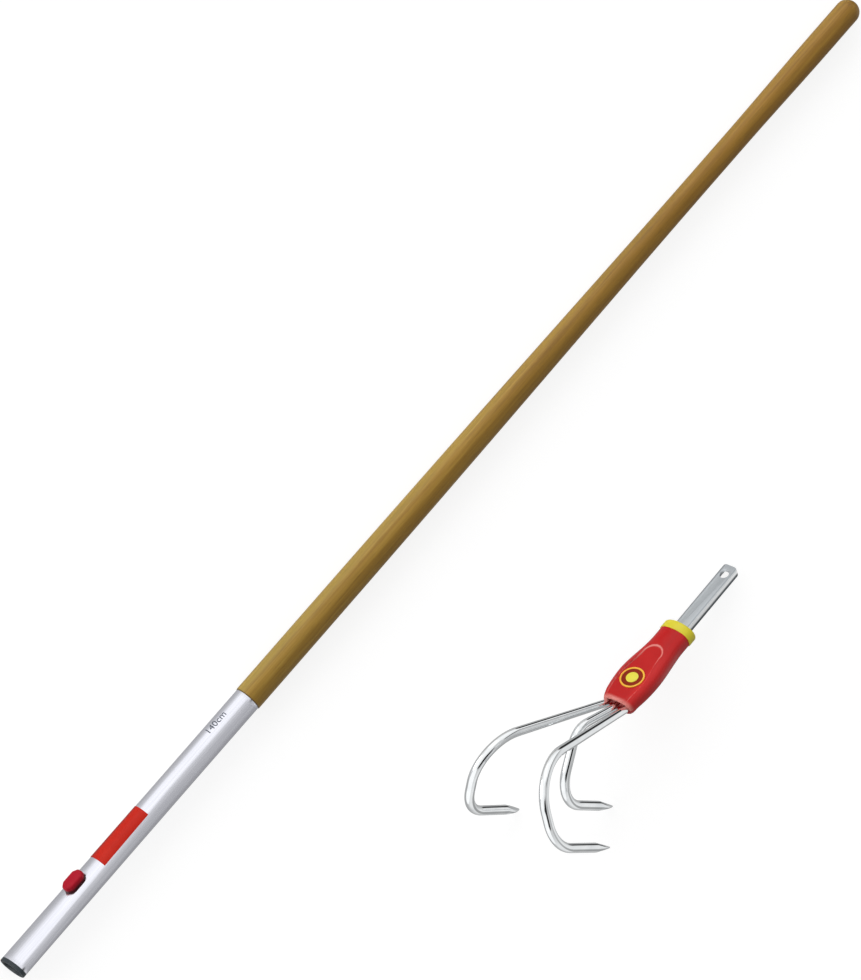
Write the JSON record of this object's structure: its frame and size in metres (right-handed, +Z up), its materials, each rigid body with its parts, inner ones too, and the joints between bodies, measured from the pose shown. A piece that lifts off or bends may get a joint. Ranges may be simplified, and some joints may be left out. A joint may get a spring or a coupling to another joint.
{
  "type": "long handled cultivator claw",
  "caption": "Garden cultivator claw with bent chromed tines on a moulded sleeve, its tang taken out of the push-button socket of a long ash handle that lies beside it",
  "frame": {"origin": "on the floor, in the middle of the box around the handle and the head", "axes": "X runs along the handle from the socket's mouth to the top of the pole, Y from the head towards the handle, Z up from the floor"},
  "size_m": [1.4, 0.411, 0.1789],
  "materials": {
    "ash_wood": "oiled ash with fine lengthwise grain",
    "ferrule_aluminium": "satin drawn tube",
    "rivet_aluminium": "satin",
    "label_film": "printed film",
    "liner_plastic": "dark slate moulding",
    "spring_steel": "drawn wire",
    "button_plastic": "crimson moulding",
    "latch_steel": "zinc plated",
    "tang_steel": "satin nickel plated sheet",
    "collar_plastic": "yellow moulding",
    "sleeve_plastic": "glossy red moulding",
    "badge_plastic": "yellow print",
    "carrier_steel": "plain",
    "tine_chrome": "bright chromed bar"
  },
  "bodies": {
    "handle": {"ash_pole": "ash_wood", "ferrule": "ferrule_aluminium", "ferrule_rivets": "rivet_aluminium", "label_plate": "label_film", "socket_liner": "liner_plastic", "latch_housing": "liner_plastic", "latch_spring": "spring_steel"},
    "latch": {"latch_button": "button_plastic", "latch_foot": "latch_steel", "latch_peg": "latch_steel"},
    "head": {"tang": "tang_steel", "collar_ring": "collar_plastic", "grip_sleeve": "sleeve_plastic", "sleeve_badge": "badge_plastic", "tine_carrier": "carrier_steel", "carrier_rivets": "latch_steel", "tine_left": "tine_chrome", "tine_centre": "tine_chrome", "tine_right": "tine_chrome"}
  },
  "joints": [
    {"name": "button_press", "type": "slide", "parent": "handle", "child": "latch", "axis": [0, -0.829, -0.5592], "range_m": [0, 0.0035], "stiffness_N_per_m": 900, "springref_m": -0.002, "deforming": ["latch_spring"]},
    {"name": "head_slide", "type": "slide", "parent": "handle", "child": "head", "axis": [1, 0, 0], "range_m": [0, 0.0945]}
  ]
}
